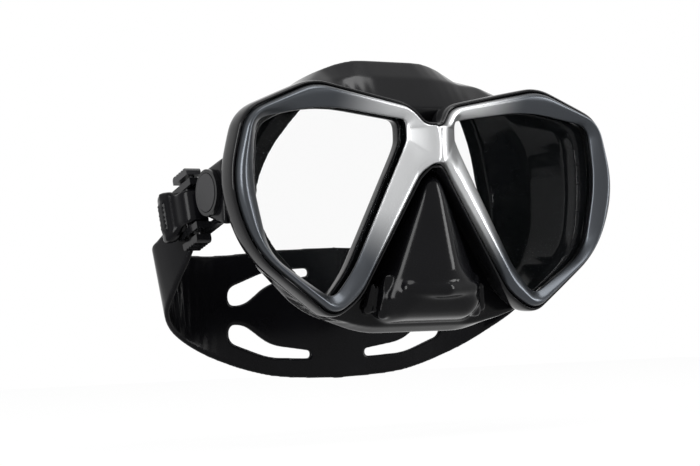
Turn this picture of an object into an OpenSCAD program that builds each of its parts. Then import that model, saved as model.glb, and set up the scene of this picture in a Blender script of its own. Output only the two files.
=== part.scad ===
// Twin-lens diving mask: bright front bezel on a black frame, two flat glass lenses,
// a soft skirt with a nose pocket, and a split head strap on two swivel buckles.
// The front faces -Y, +Z is up, and the origin is the middle of the face opening.

/* [Front] */
// Distance from the lens plane back to the middle of the face opening
seal_depth = 30; // [26:1:36]
// Height of the bezel's rounded crest in front of the lens plane
crest_h = 4; // [2:0.5:6]
// How far the bridge stands forward of the lens plane
bridge_rise = 3.5; // [1:0.5:5]
// Depth of the black frame behind the bezel
frame_d = 9; // [7:0.5:11]
// Width of the frame's rim outside the bezel
rim_w = 1.5; // [1:0.1:2]
// Thickness of the lens glass
lens_t = 3.5; // [2.5:0.5:4]
// How far the glass reaches under the bezel edge
lens_lap = 2.2; // [1.5:0.1:2.4]

/* [Skirt] */
// Wall of the soft skirt
skirt_wall = 2.2; // [1.6:0.1:2.6]
// Width of the soft band that shows inside each window
band_w = 1.2; // [0.6:0.1:2]
// Depth of the seal edge at the middle of the lip, behind the lens plane
seal_y = 20; // [18:1:24]
// Extra depth of the seal edge at the forehead
brow_depth = 8; // [6:1:12]
// Extra depth of the seal edge at the temples
temple_depth = 32; // [26:1:36]

/* [Strap] */
// Height of the strap at the back of the head
strap_h = 53.6; // [46:1:58]
// Thickness of the strap
strap_t = 2.2; // [1.8:0.1:2.6]
// Width of the strap where it runs through a buckle
tail_w = 13; // [11:0.5:14]
// Distance from the lens plane to the back of the strap
strap_back = 74.5; // [70:0.5:84]
// Height of the middle of the strap's back
strap_z = -40.3; // [-46:0.5:-36]

/* [Buckles] */
// How far a strap lug stands outside the skirt's side
lug_out = 7; // [7:0.5:9]
// Distance of the swivel axis behind the lens plane
axis_y = 20; // [20:0.5:22]
// Height of the swivel axis
axis_z = 4; // [2:0.5:6]
// Angle by which the buckles point down
tilt = 16; // [8:1:22]
// Radius of the swivel stud
stud_r = 3; // [2.5:0.1:3.2]
// Radius of the round stud head
head_r = 7; // [6:0.5:7.5]
// Radius of the strap roller
roller_r = 3; // [2.6:0.1:3.2]
// Travel of a squeeze button
press = 1.5; // [1:0.25:1.75]

/* [Fits] */
// Gap between seated pieces
seat = 0.1; // [0.05:0.05:0.2]
// Radial running clearance of the pins
run = 0.06; // [0.02:0.01:0.09]
// Gap round soft pieces
soft = 0.3; // [0.2:0.05:0.4]

/* [Hidden] */
$fn = 48;
black = [0.06, 0.06, 0.07];
silver = [0.62, 0.64, 0.67];
glass = [0.8, 0.9, 0.92, 0.35];
rubber = [0.12, 0.12, 0.13];

// Corners of one eye as [x, z, setback]; window and bezel corners pair up in order
WINDOW = [[10.7, 25.3, 0], [10.7, 27.2, 0.5], [10.7, 30.3, 2.4], [46, 35, 12], [74.6, 29.4, 5],
    [77, 8, 9], [70.8, -19.8, 8], [45, -36.6, 5], [35.5, -25.2, 5], [12, 19.6, 2.6],
    [10.7, 22.9, 0.4], [10.7, 24.1, 0]];
BEZEL = [[0, 27.6, 0], [4.2, 27.6, 3], [9.5, 35, 4.5], [50.5, 43, 6], [78.5, 31.5, 7],
    [85.2, 6, 12], [76.5, -18.5, 12], [45, -42.4, 5], [33.8, -35.2, 5], [6, 10.5, 3.2],
    [2.2, 13.6, 1.4], [0, 13.6, 0]];
// Half the skirt's width where it leaves the frame
temple_x = 76;
// Right half of the skirt's front edge and of its seal edge, from the brow to the lip
SKIRT_FRONT = [[20, 36, 8], [50, 40, 8], [74, 30, 8], [temple_x, 6, 10], [72.5, -19, 10],
    [46, -42, 8], [24, -46.5, 6]];
SKIRT_SEAL = [[20, 57, 9], [41, 47, 9], [55, 27, 9], [62, 6, 9], [59, -14, 9],
    [46, -36, 9], [22, -48.5, 8]];
STEPS = 4;

bezel_back = 1;
lens_front = bezel_back + seat;
lens_back = lens_front + lens_t;
frame_back = bezel_back + frame_d;
plate_front = frame_back + seat;
plate_back = plate_front + skirt_wall;
lug_t = 3.5;
lug_x = temple_x + lug_out;
lug_in = lug_x - lug_t;
lug_r = 9.7;
tongue_t = 2.6;
tongue_in = lug_in - soft - tongue_t;
roller_u = 17.5;
roller_x = tongue_in + roller_r + strap_t + soft + 0.2;
pin_r = 1;
wrap_r = roller_r + soft + strap_t / 2;
arm_v = tail_w / 2 + 0.7;
arm_w = 2.6;
arm_x = roller_x + wrap_r - strap_t / 2 - soft;
arm_u = lug_r + 0.7;
arm_end = roller_u + 8;
button_gap = press + 0.4;
button_h = 2.8;
button_u = [roller_u - 5.5, roller_u + 6.5];
peg_u = [roller_u - 3.2, roller_u + 4.2];
peg_r = 1.1;

function mix(a, b, t) = a + (b - a) * t;
function bend(a, b, c, t) = mix(mix(a, b, t), mix(b, c, t), t);
function flat(c) = [c[0], c[1]];
function unit(v) = v / norm(v);
// A closed outline whose corners are rounded over their setbacks
function rounded(corners) = [for (i = [0:len(corners) - 1])
    let (n = len(corners), p = flat(corners[i]), s = corners[i][2],
        a = flat(corners[(i + n - 1) % n]), b = flat(corners[(i + 1) % n]))
    for (k = [0:s > 0 ? STEPS : 0]) bend(p + s * unit(a - p), p, p + s * unit(b - p), k / STEPS)];
function mirrored(half) = concat(half,
    [for (i = [len(half) - 1:-1:0]) [-half[i][0], half[i][1], half[i][2]]]);
// The outline moved out along its own normals; points on the mask's middle move straight up or down
function grown(loop, d) = [for (i = [0:len(loop) - 1])
    let (n = len(loop), t = unit(loop[(i + 1) % n] - loop[(i + n - 1) % n]))
    loop[i] + d * (loop[i][0] == 0 ? [0, i == 0 ? 1 : -1] : [-t[1], t[0]])];
function inset(p, d) = p * (1 - d / norm(p));
function bulge(x) = abs(x) < WINDOW[0][0] ? -bridge_rise * pow(1 - pow(x / WINDOW[0][0], 2), 2) : 0;
// Share by which the bezel's edge rises to the crest where it crosses the bridge
function lift(x) = abs(x) < 6 ? pow(1 - pow(x / 6, 2), 2) : 0;
function at(p, y) = [p[0], y + bulge(p[0]), p[1]];
function clamp01(t) = max(0, min(1, t));
function seal_at(p) = seal_y + brow_depth * clamp01((p[1] + 46) / 60) + temple_depth * pow(p[0] / 76, 2);
// A point of a buckle: outward, back along the strap and across it
function buckle_at(x, u, v) = [x, axis_y + u * cos(tilt) + v * sin(tilt),
    axis_z - u * sin(tilt) + v * cos(tilt)];

// A closed ring of sections, each with the same count of points
module ring(sections) {
    n = len(sections);
    m = len(sections[0]);
    polyhedron([for (s = sections) each s],
        [for (i = [0:n - 1]) for (j = [0:m - 1]) let (a = i * m, b = ((i + 1) % n) * m, k = (j + 1) % m)
            each [[a + j, a + k, b + k], [a + j, b + k, b + j]]]);
}

// A ring round the right eye and its mirror image, joined where their ends meet at x = 0
module twin_ring(sections) {
    n = len(sections);
    m = len(sections[0]);
    quads = [for (i = [0:n - 1]) for (j = [0:m - 1]) let (a = i * m, b = ((i + 1) % n) * m, k = (j + 1) % m)
        if (i < n - 1 || sections[i][j][0] != 0 || sections[i][k][0] != 0) [a + j, b + j, b + k, a + k]];
    right = [for (s = sections) each s];
    left = [for (p = right) [-p[0], p[1], p[2]]];
    polyhedron(concat(right, left), [for (q = quads) each [[q[0], q[1], q[2]], [q[0], q[2], q[3]],
        [for (v = [q[2], q[1], q[0]]) v + n * m], [for (v = [q[3], q[2], q[0]]) v + n * m]]]);
}

// A run of sections closed at both ends
module run_of(sections) {
    n = len(sections);
    m = len(sections[0]);
    polyhedron([for (s = sections) each s],
        concat([[for (j = [m - 1:-1:0]) j]], [[for (j = [0:m - 1]) (n - 1) * m + j]],
            [for (i = [0:n - 2]) for (j = [0:m - 1]) let (a = i * m, b = a + m, k = (j + 1) % m)
                each [[a + j, a + k, b + k], [a + j, b + k, b + j]]]));
}

module both() {
    children();
    mirror([1, 0, 0]) children();
}

module on_side(side) {
    mirror([side < 0 ? 1 : 0, 0, 0]) children();
}

module placed() {
    translate([0, -seal_depth, 0]) children();
}

module front_plate(outline, y0, y1) {
    translate([0, y1, 0]) rotate([90, 0, 0]) linear_extrude(y1 - y0) polygon(outline);
}

// Draws in the swivelled frame of the right buckle
module in_buckle() {
    translate([0, axis_y, axis_z]) rotate([-tilt, 0, 0]) children();
}

// A round bar along X, from x0 to x1
module bar_x(r, x0, x1) {
    translate([x0, 0, 0]) rotate([0, 90, 0]) cylinder(r = r, h = x1 - x0);
}

module bezel() {
    window = rounded(WINDOW);
    rim = rounded(BEZEL);
    color(silver) placed() twin_ring([for (i = [0:len(rim) - 1]) let (o = rim[i], w = window[i]) [
        at(o, bezel_back), at(o, mix(-0.5, -crest_h, lift(o[0]))),
        at(mix(o, w, 0.1), -crest_h * mix(0.7, 1, lift(o[0]))), at(mix(o, w, 0.28), -crest_h),
        at(mix(o, w, 0.5), -0.85 * crest_h), at(w, -0.6), at(w, bezel_back)]]);
}

module frame() {
    window = grown(rounded(WINDOW), lens_lap + soft);
    rim = rounded(BEZEL);
    inner = grown(rim, soft);
    front = grown(rim, soft + rim_w * 0.7);
    outer = grown(rim, soft + rim_w);
    back = grown(rim, 0.6);
    y0 = bezel_back + seat;
    color(black) placed() twin_ring([for (i = [0:len(rim) - 1]) [
        at(window[i], frame_back), at(back[i], frame_back), at(outer[i], 0.5 * frame_back),
        at(outer[i], 0.8), at(front[i], -0.9), at(inner[i], -0.5), at(inner[i], y0), at(window[i], y0)]]);
}

module lens() {
    color(glass) placed() front_plate(grown(rounded(WINDOW), lens_lap), lens_front, lens_back);
}

// Soft nose pocket, drawn thinner by d on every side
module nose(d) {
    hull() {
        translate([0, 1.5, 4.5]) sphere(r = 5.2 - d, $fn = 20);
        translate([0, -1.5, -25]) sphere(r = 9 - d, $fn = 24);
        both() translate([13, 4.5, -36]) sphere(r = 8.5 - d, $fn = 20);
        translate([0, plate_front + 4 * d, 0]) sphere(r = 7 - d, $fn = 20);
        both() translate([16, plate_front + 4 * d, -37]) sphere(r = 8.5 - d, $fn = 20);
    }
}

module skirt() {
    window = rounded(WINDOW);
    sill = grown(window, -band_w);
    edge = rounded(mirrored(SKIRT_FRONT));
    seal = rounded(mirrored(SKIRT_SEAL));
    sections = [for (i = [0:len(edge) - 1])
        let (f = edge[i], r = seal[i], m = mix(f, r, 0.55) * 1.035,
            back = seal_at(r), mid = mix(plate_back, back, 0.5)) [
        [f[0], plate_front, f[1]], [m[0], mid, m[1]],
        [r[0], back, r[1]], [0.985 * r[0], back + 1.2, 0.985 * r[1]],
        [0.84 * r[0], back - 3, 0.84 * r[1]], [0.84 * r[0], back - 4.2, 0.84 * r[1]],
        let (q = inset(r, 3)) [q[0], back - 2, q[1]],
        let (q = inset(m, skirt_wall)) [q[0], mid, q[1]],
        let (q = inset(f, skirt_wall)) [q[0], plate_back - 0.7, q[1]]]];
    color(rubber) placed() difference() {
        union() {
            ring(sections);
            front_plate(grown(edge, -0.8), plate_front + 0.3, plate_back);
            // Lens pockets that pass through the frame behind the glass
            both() front_plate(grown(window, lens_lap - soft), lens_back + seat, plate_back - 0.4);
            // The nose pocket ends flush with the plate, so that both eyes share one space with it
            intersection() {
                nose(0);
                translate([-40, -30, -60]) cube([80, 30 + plate_back - 0.2, 80]);
            }
            // Lip under the nose and two finger flutes on each side of it
            hull() {
                both() translate([14, -3, -33]) sphere(r = 3, $fn = 16);
                translate([0, -8, -33.5]) sphere(r = 3, $fn = 16);
                both() translate([13, 4, -34]) sphere(r = 3.4, $fn = 16);
            }
            both() for (i = [0, 1]) hull() {
                translate([20 + 4.5 * i, 3 + 3 * i, -29 - 3 * i]) sphere(r = 2, $fn = 16);
                translate([21 + 4.5 * i, 5 + 3 * i, -42 + 2 * i]) sphere(r = 2.4, $fn = 16);
            }
            // Strap lugs behind the frame's sides
            both() hull() {
                translate([0, axis_y, axis_z]) bar_x(lug_r, lug_in, lug_x);
                translate([lug_in, plate_front + 0.1, axis_z - 12]) cube([lug_t, 1.6, 24]);
            }
            both() hull() {
                translate([lug_x - 12.5, plate_front + 0.15, axis_z - 11]) cube([12, 1.5, 22]);
                translate([lug_x - 15, plate_front + 0.15, axis_z - 9]) cube([2, 1.5, 18]);
            }
        }
        // Eye openings that widen towards the face and stay inside the skirt's wall
        intersection() {
            both() hull() {
                front_plate(sill, 0, lens_back + 1);
                front_plate(grown(window, band_w), plate_back + 0.5, plate_back + 1);
            }
            front_plate(grown(edge, -skirt_wall - 1), -1, plate_back + 2);
        }
        nose(skirt_wall);
        both() translate([0, axis_y, axis_z]) bar_x(5.5 + 0.15, lug_in - 1, lug_x + 1);
    }
}

// Control points of the right half of the strap: position, lean of the band and height
STRAP = [[0, strap_back, strap_z, 0, strap_h], [30, strap_back, strap_z + 0.4, 0, strap_h - 3],
    [55, strap_back - 0.5, strap_z + 3, 0, strap_h - 12], [73, strap_back - 2, strap_z + 8, -8, 34],
    [82, strap_back - 8, strap_z + 13.5, -20, 29], [82.6, strap_back - 16, strap_z + 20, -28, 24],
    [79.6, strap_back - 26, strap_z + 31, -26, 18]];
// Corners of one slot as [x, z from the strap's middle, setback], thin near the middle and broad outside
SLOT = [[12.5, 15.2, 1.2], [13, 18.2, 1.2], [32, 17.2, 5], [50, 10.5, 3.4], [49.5, 3.4, 3.4],
    [42, 4.4, 3], [31, 12.4, 5]];
function spline(p, i, t) = let (n = len(p) - 1, a = p[max(i - 1, 0)], b = p[i], c = p[i + 1],
    d = p[min(i + 2, n)])
    0.5 * (2 * b + (c - a) * t + (2 * a - 5 * b + 4 * c - d) * t * t + (3 * b - a - 3 * c + d) * t * t * t);
// A section of the band: c is its middle, n the outward direction, v the height direction
function band(c, n, v, h, t) = [c - n * t / 2 - v * (h / 2 - 0.6), c - n * t / 2 + v * (h / 2 - 0.6),
    c + v * h / 2, c + n * t / 2 + v * (h / 2 - 0.6), c + n * t / 2 - v * (h / 2 - 0.6), c - v * h / 2];

module strap() {
    inner_x = roller_x - wrap_r;
    outer_x = roller_x + wrap_r;
    rib_l = tail_w - 2;
    last = concat(buckle_at(inner_x, roller_u + 10, 0), [-tilt, tail_w]);
    path = concat(STRAP, [last]);
    back_run = [for (i = [0:len(path) - 2]) for (k = [0:4]) spline(path, i, k / 5)];
    n = len(back_run);
    back_sections = [for (i = [0:n - 1]) let (p = back_run[i], a = back_run[max(i - 1, 0)],
        b = i < n - 1 ? back_run[i + 1] : last,
        v = [0, -sin(p[3]), cos(p[3])], d = [b[0] - a[0], b[1] - a[1], b[2] - a[2]])
        band([p[0], p[1], p[2]], unit(cross(v, i == 0 ? [1, 0, 0] : d)), v, p[4], strap_t)];
    up = [0, sin(tilt), cos(tilt)];
    rear = [0, cos(tilt), -sin(tilt)];
    side = [1, 0, 0];
    buckle_sections = concat(
        [for (u = [10, 5]) band(buckle_at(inner_x, roller_u + u, 0), side, up, tail_w, strap_t)],
        [for (k = [0:8]) let (a = 180 - k * 22.5)
            band(buckle_at(roller_x + wrap_r * cos(a), roller_u - wrap_r * sin(a), 0),
                rear * sin(a) - side * cos(a), up, tail_w, strap_t)],
        [for (s = [[1.5, 0, 0], [3, 1, 0.3], [5, 4.5, 1.8], [9, 7, 2.8], [13, 5.5, 2], [15, -1, 0.2]])
            band(buckle_at(outer_x + s[2] / 2, roller_u + s[0], 0), -side, up,
                tail_w + s[1], strap_t + s[2])]);
    right = concat(back_sections, buckle_sections);
    left = [for (i = [len(right) - 1:-1:1]) [for (p = right[i]) [-p[0], p[1], p[2]]]];
    color(rubber) placed() difference() {
        union() {
            run_of(concat(left, right));
            // Grip ribs across each tail's thick end
            both() in_buckle() for (i = [0:3]) hull() {
                translate([outer_x + 1.5, roller_u + 7 + 1.3 * i, -rib_l / 2]) cube([2.5, 0.7, rib_l]);
                translate([outer_x + 1.5, roller_u + 7.2 + 1.3 * i, -rib_l / 2]) cube([2.8, 0.3, rib_l]);
            }
        }
        // Two slots above and two below the middle of the back
        both() for (up_down = [-1, 1]) translate([0, strap_back + 10, strap_z])
            rotate([90, 0, 0]) linear_extrude(24)
            polygon(rounded([for (c = SLOT) [c[0], up_down * c[1], c[2]]]));
    }
}

module collar() {
    color(black) placed() translate([0, axis_y, axis_z]) difference() {
        union() {
            bar_x(5.5, lug_in, lug_x + 0.2);
            bar_x(head_r + 1.5, lug_x + 0.1, lug_x + 2);
        }
        bar_x(stud_r + run, lug_in - 1, lug_x + 3);
        bar_x(head_r + soft, lug_x + 1, lug_x + 3);
    }
}

module stud() {
    color(rubber) placed() translate([0, axis_y, axis_z]) {
        bar_x(stud_r, tongue_in, lug_x + 1.5);
        bar_x(head_r, lug_x + 1.2, lug_x + 2.2);
    }
}

// One side arm of the buckle's yoke, seen from outside, from u0 to its round end
module arm_outline(side, u0) {
    translate([u0, side > 0 ? arm_v : -arm_v - arm_w]) square([arm_end - u0, arm_w]);
    translate([arm_end, side * (arm_v + arm_w / 2)]) circle(r = arm_w / 2);
}

module buckle_body() {
    color(black) placed() in_buckle() difference() {
        union() {
            bar_x(7.2, tongue_in, tongue_in + tongue_t);
            translate([tongue_in, 0, -6.5]) cube([tongue_t, 8, 13]);
            translate([tongue_in, 5.5, -arm_v - arm_w]) cube([tongue_t, 2.5, 2 * (arm_v + arm_w)]);
            for (side = [-1, 1]) translate([tongue_in, 0, 0]) rotate([90, 0, 90]) {
                linear_extrude(tongue_t) arm_outline(side, 6);
                linear_extrude(arm_x - tongue_in) arm_outline(side, arm_u);
            }
        }
        bar_x(stud_r + 0.02, tongue_in - 1, tongue_in + tongue_t + 1);
        translate([roller_x, roller_u, -20]) cylinder(r = pin_r + 0.02, h = 40);
        for (u = peg_u) translate([roller_x, u, -20]) cylinder(r = peg_r + run, h = 40);
    }
}

module roller() {
    color(black) placed() in_buckle() translate([roller_x, roller_u, 0]) difference() {
        cylinder(r = roller_r, h = 2 * arm_v - 0.4, center = true);
        cylinder(r = pin_r + run, h = 2 * arm_v, center = true);
    }
}

module roller_pin() {
    color(silver) placed() in_buckle() translate([roller_x, roller_u, 0])
        cylinder(r = pin_r, h = 2 * (arm_v + arm_w) - 0.4, center = true);
}

// A squeeze button: rounded block with grip ridges, on two guide pegs
module button(side) {
    z0 = arm_v + arm_w + button_gap;
    len_u = button_u[1] - button_u[0];
    round_r = button_h / 2;
    depth_x = arm_x - roller_x;
    color(black) placed() in_buckle() mirror([0, 0, side > 0 ? 0 : 1]) union() {
        difference() {
            translate([roller_x - depth_x, 0, 0]) rotate([90, 0, 90]) linear_extrude(2 * depth_x) union() {
                translate([button_u[0] + round_r, z0]) square([len_u - 2 * round_r, button_h]);
                translate([button_u[0], z0]) square([len_u, button_h - round_r]);
                for (u = [button_u[0] + round_r, button_u[1] - round_r])
                    translate([u, z0 + button_h - round_r]) circle(r = round_r);
            }
            for (i = [-1.5:1.5]) translate([roller_x - 6, roller_u + 0.5 + 2 * i, z0 + button_h])
                rotate([0, 90, 0]) cylinder(r = 0.45, h = 12);
        }
        for (u = peg_u) translate([roller_x, u, arm_v + 0.2 + press])
            cylinder(r = peg_r, h = arm_w + button_gap);
    }
}

frame();
bezel();
on_side(-1) lens();  // lens_left
on_side(1) lens();  // lens_right
skirt();
strap();
on_side(-1) collar();  // collar_left
on_side(1) collar();  // collar_right
on_side(-1) stud();  // stud_left
on_side(1) stud();  // stud_right
on_side(-1) buckle_body();  // buckle_left
on_side(1) buckle_body();  // buckle_right
on_side(-1) roller();  // roller_left
on_side(1) roller();  // roller_right
on_side(-1) roller_pin();  // roller_pin_left
on_side(1) roller_pin();  // roller_pin_right
on_side(-1) button(1);  // upper_button_left
on_side(-1) button(-1);  // lower_button_left
on_side(1) button(1);  // upper_button_right
on_side(1) button(-1);  // lower_button_right
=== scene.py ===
"""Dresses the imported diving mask: smooth front and soft parts, glass, materials, light and camera."""

import math

import bpy
from mathutils import Matrix, Vector


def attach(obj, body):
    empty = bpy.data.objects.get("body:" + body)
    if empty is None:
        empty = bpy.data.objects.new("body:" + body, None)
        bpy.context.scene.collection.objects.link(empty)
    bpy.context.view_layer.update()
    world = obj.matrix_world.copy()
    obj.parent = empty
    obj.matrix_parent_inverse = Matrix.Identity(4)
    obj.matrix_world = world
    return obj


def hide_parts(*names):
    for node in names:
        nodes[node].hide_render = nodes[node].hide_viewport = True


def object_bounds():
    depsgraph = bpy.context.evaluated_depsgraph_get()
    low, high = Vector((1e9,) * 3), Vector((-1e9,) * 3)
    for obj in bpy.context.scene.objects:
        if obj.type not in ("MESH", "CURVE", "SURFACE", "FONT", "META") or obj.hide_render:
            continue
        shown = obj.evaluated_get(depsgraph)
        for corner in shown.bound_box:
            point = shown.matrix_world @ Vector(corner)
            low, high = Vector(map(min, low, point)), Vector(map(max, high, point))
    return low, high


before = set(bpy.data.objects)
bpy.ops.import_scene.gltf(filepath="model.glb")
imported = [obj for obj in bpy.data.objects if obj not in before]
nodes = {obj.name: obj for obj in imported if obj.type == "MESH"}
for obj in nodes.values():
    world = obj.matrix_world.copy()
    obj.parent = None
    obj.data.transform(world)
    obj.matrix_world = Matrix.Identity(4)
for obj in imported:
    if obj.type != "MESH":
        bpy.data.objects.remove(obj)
cad_low, cad_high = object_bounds()
scene = bpy.context.scene

MM = 0.001
SIDES = ("left", "right")
SEAL_DEPTH = 30.0  # mm from the lens plane to the origin

# Driving sizes of the front, in mm, as the solids have them
CREST_H = 4.0
BRIDGE_RISE = 3.5
BRIDGE_EDGE_HALF = 6.0
BEZEL_BACK = 1.0
BEZEL_FOOT = 0.2
BEZEL_EDGE_H = 1.2
BEZEL_LIP_H = 0.7
BEZEL_LIP_HOLD = 0.2
FRAME_BACK = 10.0
FRAME_TAPER = 0.6
FRAME_GAP = 0.1
RIM_GAP = 0.3
RIM_W = 1.5
RIM_H = 0.9
RIM_FOOT = 0.8
RIM_DROP = 0.3
LENS_HOLE = 2.5

# Profile of the bezel: shares of the way from its rim to the window, and heights as shares of the crest
SHOULDER_AT = 0.1
SHOULDER_H = 0.78
CREST_AT = 0.28
SLOPE_AT = 0.55
SLOPE_H = 0.8

# Profile of the frame: shares of its depth, of the way out along its flank and of the rim's width
FLANK_AT = 0.7
FLANK_DEPTH = 0.8
FLANK_TOP_DEPTH = 0.5
RIM_CROWN_AT = 0.7

# Corners of one eye as (x, z, setback) in mm; window and bezel corners pair up in order
WINDOW = [(10.7, 25.3, 0), (10.7, 27.2, 0.5), (10.7, 30.3, 2.4), (46, 35, 12), (74.6, 29.4, 5),
          (77, 8, 9), (70.8, -19.8, 8), (45, -36.6, 5), (35.5, -25.2, 5), (12, 19.6, 2.6),
          (10.7, 22.9, 0.4), (10.7, 24.1, 0)]
BEZEL = [(0, 27.6, 0), (4.2, 27.6, 3), (9.5, 35, 4.5), (50.5, 43, 6), (78.5, 31.5, 7),
         (85.2, 6, 12), (76.5, -18.5, 12), (45, -42.4, 5), (33.8, -35.2, 5), (6, 10.5, 3.2),
         (2.2, 13.6, 1.4), (0, 13.6, 0)]
BRIDGE_HALF = WINDOW[0][0]

# Smoothing of the front and of the soft pieces
CORNER_STEPS = 6
RING_LEVELS = 2
VOXEL_MM = 0.5
RELAX_FACTOR = 0.5
SKIRT_ROUNDS = 45
STRAP_ROUNDS = 14
NOSE_ROUNDS = 160

# Limits of the nose pocket in mm, each with the width over which its relaxing fades in
NOSE_HALF_WIDTH, NOSE_SIDE_FADE = 20, 6
NOSE_BACK, NOSE_BACK_FADE = -19, 4
NOSE_TOP, NOSE_TOP_FADE = 10, 4
NOSE_LOW, NOSE_LOW_FADE = -29, 5

# Rounding of the small hard parts
EDGE_MM = 0.35
EDGE_SEGMENTS = 2
EDGE_ANGLE = math.radians(40)

# Unevenness and grain of the materials
MOTTLES_PER_M = 60.0
MOTTLE_DETAIL = 4.0
MOTTLING = 0.15
MOTTLE_DARK_AT = 0.3
MOTTLE_PALE_AT = 0.7
GRAIN_PER_M = 2500.0
GRAIN_DEPTH = 0.1 * MM

# Silver fades to gunmetal with the distance from the middle, sooner towards the lower edge; in mm
SILVER_TO = 14
GUNMETAL_FROM = 44
LOW_START = -4
LOW_END = -40
LOW_SHIFT = 22
SILVER = (0.44, 0.445, 0.45, 1)
GUNMETAL = (0.042, 0.046, 0.052, 1)

# Camera in the row frame
CAMERA_AT = Vector((-400.14, -605.148 - SEAL_DEPTH, -46.187)) * MM
CAMERA_RIGHT = Vector((0.858, -0.513, -0.034))
CAMERA_UP = Vector((0.004, -0.059, 0.998))
CAMERA_BACK = Vector((-0.514, -0.856, -0.048))
FOCAL_MM = 99.25
SENSOR_MM = 36
CLIP_START_M = 0.01

# Floor and surroundings
SWING_ROOM = 22.0  # mm under the part, so that the strap can swing down
FLOOR_HALF_MM = 900.0
FLOOR_COLOR = (0.85, 0.85, 0.85, 1)
FLOOR_ROUGHNESS = 0.9
FLOOR_WHITE_SHARE = 0.96
SKY_STRENGTH = 0.12


# Outlines
def rounded(corners):
    """A closed outline whose corners are rounded over their setbacks."""
    points = []
    for i, (x, z, setback) in enumerate(corners):
        p = Vector((x, z))
        before = Vector(corners[i - 1][:2])
        after = Vector(corners[(i + 1) % len(corners)][:2])
        a = p + setback * (before - p).normalized()
        b = p + setback * (after - p).normalized()
        for k in range(CORNER_STEPS + 1 if setback else 1):
            t = k / CORNER_STEPS
            points.append(a.lerp(p, t).lerp(p.lerp(b, t), t))
    return points


def grown(loop, d):
    """The outline moved out along its own normals; points on the middle plane stay on it."""
    out = []
    for i, p in enumerate(loop):
        t = (loop[(i + 1) % len(loop)] - loop[i - 1]).normalized()
        on_middle = Vector((0, 1 if i == 0 else -1))
        out.append(p + d * (on_middle if p.x == 0 else Vector((-t.y, t.x))))
    return out


def lift(x):
    """Share by which the bezel's edge rises to the crest where it crosses the bridge."""
    return (1 - (x / BRIDGE_EDGE_HALF) ** 2) ** 2 if x < BRIDGE_EDGE_HALF else 0


def at(p, y):
    """A point of the front in mm: the bridge stands forward of the lens plane."""
    share = 1 - (p.x / BRIDGE_HALF) ** 2
    bulge = -BRIDGE_RISE * share ** 2 if share > 0 else 0
    return Vector((p.x, y + bulge - SEAL_DEPTH, p.y))


# Meshes
def mesh_object(name, points_mm, faces, smooth=True):
    """A new mesh object in the row frame from points in mm."""
    mesh = bpy.data.meshes.new(name)
    mesh.from_pydata([p * MM for p in points_mm], [], faces)
    mesh.update()
    for polygon in mesh.polygons:
        polygon.use_smooth = smooth
    obj = bpy.data.objects.new(name, mesh)
    scene.collection.objects.link(obj)
    return obj


def twin_ring(name, sections):
    """A ring round the right eye and its mirror image, joined at x = 0 and smoothed by subdivision."""
    n, m = len(sections), len(sections[0])
    right = [p for section in sections for p in section]
    quads = []
    for i in range(n):
        a, b = i * m, ((i + 1) % n) * m
        for j in range(m):
            k = (j + 1) % m
            if i == n - 1 and right[a + j].x == 0 and right[a + k].x == 0:
                continue
            quads.append((a + j, b + j, b + k, a + k))
    left = [Vector((-p.x, p.y, p.z)) for p in right]
    faces = quads + [tuple(v + n * m for v in reversed(q)) for q in quads]
    obj = mesh_object(name, right + left, faces)
    weld = obj.modifiers.new("weld", "WELD")
    weld.merge_threshold = 1e-6
    subdivision = obj.modifiers.new("smooth", "SUBSURF")
    subdivision.levels = subdivision.render_levels = RING_LEVELS
    return obj


def softened(name, node, rounds):
    """A smooth copy of a soft CAD solid: remeshed finely, then relaxed."""
    source = nodes[node]
    obj = bpy.data.objects.new(name, source.data.copy())
    scene.collection.objects.link(obj)
    obj.data.materials.clear()
    remesh = obj.modifiers.new("remesh", "REMESH")
    remesh.mode = "VOXEL"
    remesh.voxel_size = VOXEL_MM * MM
    remesh.use_smooth_shade = True
    relax = obj.modifiers.new("relax", "SMOOTH")
    relax.factor = RELAX_FACTOR
    relax.iterations = rounds
    depsgraph = bpy.context.evaluated_depsgraph_get()
    mesh = bpy.data.meshes.new_from_object(obj.evaluated_get(depsgraph))
    obj.modifiers.clear()
    obj.data = mesh
    for polygon in mesh.polygons:
        polygon.use_smooth = True
    return obj


def rounder(obj, weight, rounds):
    """Relaxes a region of a mesh further, by a weight from each vertex's place in mm."""
    group = obj.vertex_groups.new(name="rounder")
    for vertex in obj.data.vertices:
        share = weight(vertex.co / MM)
        if share > 0:
            group.add([vertex.index], min(1, share), "REPLACE")
    relax = obj.modifiers.new("rounder", "SMOOTH")
    relax.vertex_group = group.name
    relax.factor = RELAX_FACTOR
    relax.iterations = rounds


def nose_share(p):
    """How far a point of the skirt lies in the nose pocket: 1 or more well inside, 0 or less outside."""
    return min((NOSE_HALF_WIDTH - abs(p.x)) / NOSE_SIDE_FADE, (NOSE_BACK - p.y) / NOSE_BACK_FADE,
               (NOSE_TOP - p.z) / NOSE_TOP_FADE, (p.z - NOSE_LOW) / NOSE_LOW_FADE)


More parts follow.
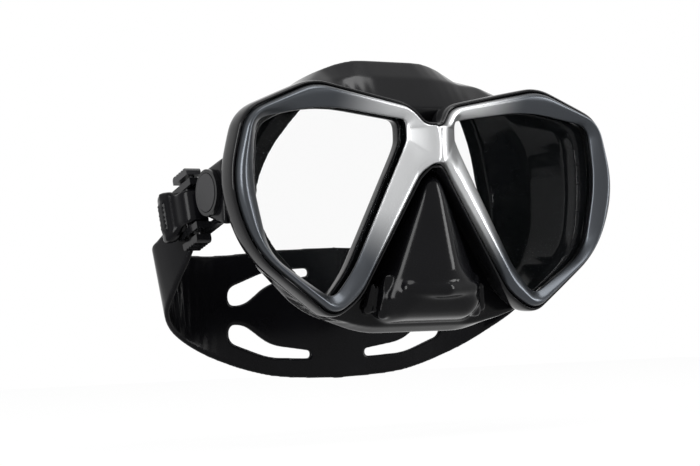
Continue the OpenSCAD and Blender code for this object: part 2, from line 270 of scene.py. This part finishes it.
# Materials
def material(name, color, roughness, metallic=0.0, bump=0.0, specular=0.5):
    """A surface a little uneven in gloss, in tint where a colour is given, and grained by the bump."""
    mat = bpy.data.materials.new(name)
    mat.use_nodes = True
    tree = mat.node_tree
    shader = tree.nodes["Principled BSDF"]
    shader.inputs["Metallic"].default_value = metallic
    shader.inputs["Specular IOR Level"].default_value = specular
    coords = tree.nodes.new("ShaderNodeTexCoord")
    noise = tree.nodes.new("ShaderNodeTexNoise")
    noise.inputs["Scale"].default_value = MOTTLES_PER_M
    noise.inputs["Detail"].default_value = MOTTLE_DETAIL
    tree.links.new(coords.outputs["Object"], noise.inputs["Vector"])
    if color:
        tint = tree.nodes.new("ShaderNodeValToRGB")
        dark, pale = tint.color_ramp.elements
        dark.position = MOTTLE_DARK_AT
        dark.color = (*[c * (1 - MOTTLING) for c in color], 1)
        pale.position = MOTTLE_PALE_AT
        pale.color = (*[min(1, c * (1 + MOTTLING)) for c in color], 1)
        tree.links.new(noise.outputs["Fac"], tint.inputs["Fac"])
        tree.links.new(tint.outputs["Color"], shader.inputs["Base Color"])
    gloss = tree.nodes.new("ShaderNodeMapRange")
    gloss.inputs["To Min"].default_value = roughness * (1 - MOTTLING)
    gloss.inputs["To Max"].default_value = roughness * (1 + MOTTLING)
    tree.links.new(noise.outputs["Fac"], gloss.inputs["Value"])
    tree.links.new(gloss.outputs["Result"], shader.inputs["Roughness"])
    if bump:
        grain = tree.nodes.new("ShaderNodeTexNoise")
        grain.inputs["Scale"].default_value = GRAIN_PER_M
        tree.links.new(coords.outputs["Object"], grain.inputs["Vector"])
        relief = tree.nodes.new("ShaderNodeBump")
        relief.inputs["Strength"].default_value = bump
        relief.inputs["Distance"].default_value = GRAIN_DEPTH
        tree.links.new(grain.outputs["Fac"], relief.inputs["Height"])
        tree.links.new(relief.outputs["Normal"], shader.inputs["Normal"])
    return mat


def bezel_material():
    """Satin silver round the bridge and nose sides that fades to gunmetal outwards and down."""
    mat = material("bezel_satin", None, 0.3, metallic=0.85, bump=0.06)
    tree = mat.node_tree
    coords = tree.nodes.new("ShaderNodeTexCoord")
    split = tree.nodes.new("ShaderNodeSeparateXYZ")
    tree.links.new(coords.outputs["Object"], split.inputs["Vector"])
    side = tree.nodes.new("ShaderNodeMath")
    side.operation = "ABSOLUTE"
    tree.links.new(split.outputs["X"], side.inputs[0])
    below = tree.nodes.new("ShaderNodeMapRange")
    below.inputs["From Min"].default_value = LOW_START * MM
    below.inputs["From Max"].default_value = LOW_END * MM
    below.inputs["To Max"].default_value = LOW_SHIFT * MM
    tree.links.new(split.outputs["Z"], below.inputs["Value"])
    away = tree.nodes.new("ShaderNodeMath")
    tree.links.new(side.outputs["Value"], away.inputs[0])
    tree.links.new(below.outputs["Result"], away.inputs[1])
    ramp = tree.nodes.new("ShaderNodeMapRange")
    ramp.interpolation_type = "SMOOTHSTEP"
    ramp.inputs["From Min"].default_value = SILVER_TO * MM
    ramp.inputs["From Max"].default_value = GUNMETAL_FROM * MM
    tree.links.new(away.outputs["Value"], ramp.inputs["Value"])
    tint = tree.nodes.new("ShaderNodeValToRGB")
    tint.color_ramp.elements[0].color = SILVER
    tint.color_ramp.elements[1].color = GUNMETAL
    tree.links.new(ramp.outputs["Result"], tint.inputs["Fac"])
    tree.links.new(tint.outputs["Color"], tree.nodes["Principled BSDF"].inputs["Base Color"])
    return mat


def glass_material():
    """Clear flat glass: a faint cool film without reflections."""
    mat = bpy.data.materials.new("lens_glass")
    mat.use_nodes = True
    shader = mat.node_tree.nodes["Principled BSDF"]
    shader.inputs["Base Color"].default_value = (0.03, 0.036, 0.038, 1)
    shader.inputs["Roughness"].default_value = 0.02
    shader.inputs["Specular IOR Level"].default_value = 0.0
    shader.inputs["Alpha"].default_value = 0.025
    return mat


BEZEL_MAT = bezel_material()
GLOSS_BLACK = material("gloss_black_plastic", (0.004, 0.004, 0.0045), 0.1, specular=0.16)
SILICONE = material("gloss_black_silicone", (0.0025, 0.0025, 0.003), 0.14, specular=0.1)
STRAP_MAT = material("satin_strap_silicone", (0.002, 0.002, 0.0025), 0.18, bump=0.02, specular=0.07)
SATIN_BLACK = material("satin_black_plastic", (0.010, 0.010, 0.011), 0.3, bump=0.1, specular=0.25)
STUD_GREY = material("stud_grey_plastic", (0.012, 0.012, 0.013), 0.42, bump=0.1, specular=0.2)
STEEL = material("pin_steel_brushed", (0.55, 0.55, 0.57), 0.25, metallic=1.0)
GLASS = glass_material()
FINISHES = {"collar": GLOSS_BLACK, "stud": STUD_GREY, "buckle": GLOSS_BLACK, "roller": GLOSS_BLACK,
            "roller_pin": STEEL, "upper_button": SATIN_BLACK, "lower_button": GLOSS_BLACK}


def dress(obj, mat):
    """Gives an object one material."""
    obj.data.materials.clear()
    obj.data.materials.append(mat)


# Front
def bezel_section(outer, inner):
    """Profile of the bezel from its rim over the crest to the window's edge."""
    rise = lift(outer.x)
    edge_h = BEZEL_EDGE_H + (CREST_H - BEZEL_EDGE_H) * rise
    shoulder_h = CREST_H * (SHOULDER_H + (1 - SHOULDER_H) * rise)
    return [at(outer, BEZEL_BACK), at(outer, BEZEL_FOOT), at(outer, -edge_h),
            at(outer.lerp(inner, SHOULDER_AT), -shoulder_h),
            at(outer.lerp(inner, CREST_AT), -CREST_H),
            at(outer.lerp(inner, SLOPE_AT), -SLOPE_H * CREST_H),
            at(inner, -BEZEL_LIP_H), at(inner, BEZEL_LIP_HOLD - BEZEL_LIP_H), at(inner, BEZEL_BACK)]


def frame_section(hole, back, outer, crown, inner):
    """Profile of the frame from the lens hole's back over the flank and the thin rim to its seat."""
    seat_y = BEZEL_BACK + FRAME_GAP
    return [at(hole, FRAME_BACK), at(back, FRAME_BACK),
            at(back.lerp(outer, FLANK_AT), FLANK_DEPTH * FRAME_BACK),
            at(outer, FLANK_TOP_DEPTH * FRAME_BACK), at(outer, RIM_FOOT),
            at(crown, -RIM_H), at(inner, RIM_DROP - RIM_H), at(inner, seat_y), at(hole, seat_y)]


window = rounded(WINDOW)
rim = rounded(BEZEL)
bezel = twin_ring("bezel_trim", [bezel_section(*points) for points in zip(rim, window)])
dress(bezel, BEZEL_MAT)
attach(bezel, "mask")
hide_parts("bezel")

frame_loops = [grown(window, LENS_HOLE), grown(rim, FRAME_TAPER), grown(rim, RIM_GAP + RIM_W),
               grown(rim, RIM_GAP + RIM_CROWN_AT * RIM_W), grown(rim, RIM_GAP)]
shell = twin_ring("frame_shell", [frame_section(*points) for points in zip(*frame_loops)])
dress(shell, GLOSS_BLACK)
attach(shell, "mask")
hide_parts("frame")

# Soft pieces
skirt = softened("skirt_silicone", "skirt", SKIRT_ROUNDS)
rounder(skirt, nose_share, NOSE_ROUNDS)
dress(skirt, SILICONE)
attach(skirt, "mask")
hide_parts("skirt")

strap = softened("head_strap", "strap", STRAP_ROUNDS)
dress(strap, STRAP_MAT)
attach(strap, "strap")
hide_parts("strap")

# Lenses and small hard parts, as the solids have them
for side in SIDES:
    dress(nodes[f"lens_{side}"], GLASS)
    for part, finish in FINISHES.items():
        small_part = nodes[f"{part}_{side}"]
        dress(small_part, finish)
        edges = small_part.modifiers.new("edges", "BEVEL")
        edges.width = EDGE_MM * MM
        edges.segments = EDGE_SEGMENTS
        edges.limit_method = "ANGLE"
        edges.angle_limit = EDGE_ANGLE

# Camera
camera_data = bpy.data.cameras.new("camera")
camera_data.sensor_width = SENSOR_MM
camera_data.lens = FOCAL_MM
camera_data.clip_start = CLIP_START_M
camera = bpy.data.objects.new("camera", camera_data)
axes = Matrix((CAMERA_RIGHT, CAMERA_UP, CAMERA_BACK)).transposed().to_4x4()
camera.matrix_world = Matrix.Translation(CAMERA_AT) @ axes
scene.collection.objects.link(camera)
scene.camera = camera


# Floor and surroundings
def white_to_camera(tree, surface, share):
    """Mixes a surface with plain white light as the camera, mirrors and glass see it."""
    path = tree.nodes.new("ShaderNodeLightPath")
    seen = path.outputs["Is Camera Ray"]
    for ray in ("Is Transmission Ray", "Is Glossy Ray"):
        either = tree.nodes.new("ShaderNodeMath")
        either.operation = "MAXIMUM"
        tree.links.new(seen, either.inputs[0])
        tree.links.new(path.outputs[ray], either.inputs[1])
        seen = either.outputs["Value"]
    weight = tree.nodes.new("ShaderNodeMath")
    weight.operation = "MULTIPLY"
    weight.inputs[1].default_value = share
    tree.links.new(seen, weight.inputs[0])
    white = tree.nodes.new("ShaderNodeEmission")
    white.inputs["Strength"].default_value = 1.0
    mix = tree.nodes.new("ShaderNodeMixShader")
    tree.links.new(weight.outputs["Value"], mix.inputs["Fac"])
    tree.links.new(surface, mix.inputs[1])
    tree.links.new(white.outputs["Emission"], mix.inputs[2])
    return mix.outputs["Shader"]


floor_z = cad_low[2] / MM - SWING_ROOM
floor_corners = [Vector((x * FLOOR_HALF_MM, y * FLOOR_HALF_MM, floor_z))
                 for x, y in ((-1, -1), (1, -1), (1, 1), (-1, 1))]
floor = mesh_object("floor", floor_corners, [(0, 1, 2, 3)], smooth=False)
floor_mat = bpy.data.materials.new("floor_white")
floor_mat.use_nodes = True
floor_tree = floor_mat.node_tree
floor_paint = floor_tree.nodes["Principled BSDF"]
floor_paint.inputs["Base Color"].default_value = FLOOR_COLOR
floor_paint.inputs["Roughness"].default_value = FLOOR_ROUGHNESS
floor_shader = white_to_camera(floor_tree, floor_paint.outputs["BSDF"], FLOOR_WHITE_SHARE)
floor_tree.links.new(floor_shader, floor_tree.nodes["Material Output"].inputs["Surface"])
dress(floor, floor_mat)

world = bpy.data.worlds.new("studio")
scene.world = world
world.use_nodes = True
sky = world.node_tree.nodes["Background"]
sky.inputs["Color"].default_value = (1, 1, 1, 1)
sky.inputs["Strength"].default_value = SKY_STRENGTH
sky_shader = white_to_camera(world.node_tree, sky.outputs["Background"], 1.0)
world.node_tree.links.new(sky_shader, world.node_tree.nodes["World Output"].inputs["Surface"])


# Light
def softbox(name, place, target, width, height, watts):
    """An area lamp that faces a point of the mask; places and sizes in metres."""
    lamp = bpy.data.lights.new(name, "AREA")
    lamp.shape = "RECTANGLE"
    lamp.size, lamp.size_y = width, height
    lamp.energy = watts
    obj = bpy.data.objects.new(name, lamp)
    obj.location = place
    obj.rotation_euler = (Vector(target) - Vector(place)).to_track_quat("-Z", "Y").to_euler()
    scene.collection.objects.link(obj)


softbox("softbox_left", (-1.1, -0.35, 0.35), (-0.08, 0, 0), 0.5, 0.9, 20)
softbox("softbox_top", (0.1, -0.3, 1.2), (0, 0, 0), 1.0, 0.6, 14)
softbox("softbox_right", (0.9, -0.7, 0.3), (0.03, 0, 0), 0.35, 0.9, 14)

scene.view_settings.view_transform = "Standard"
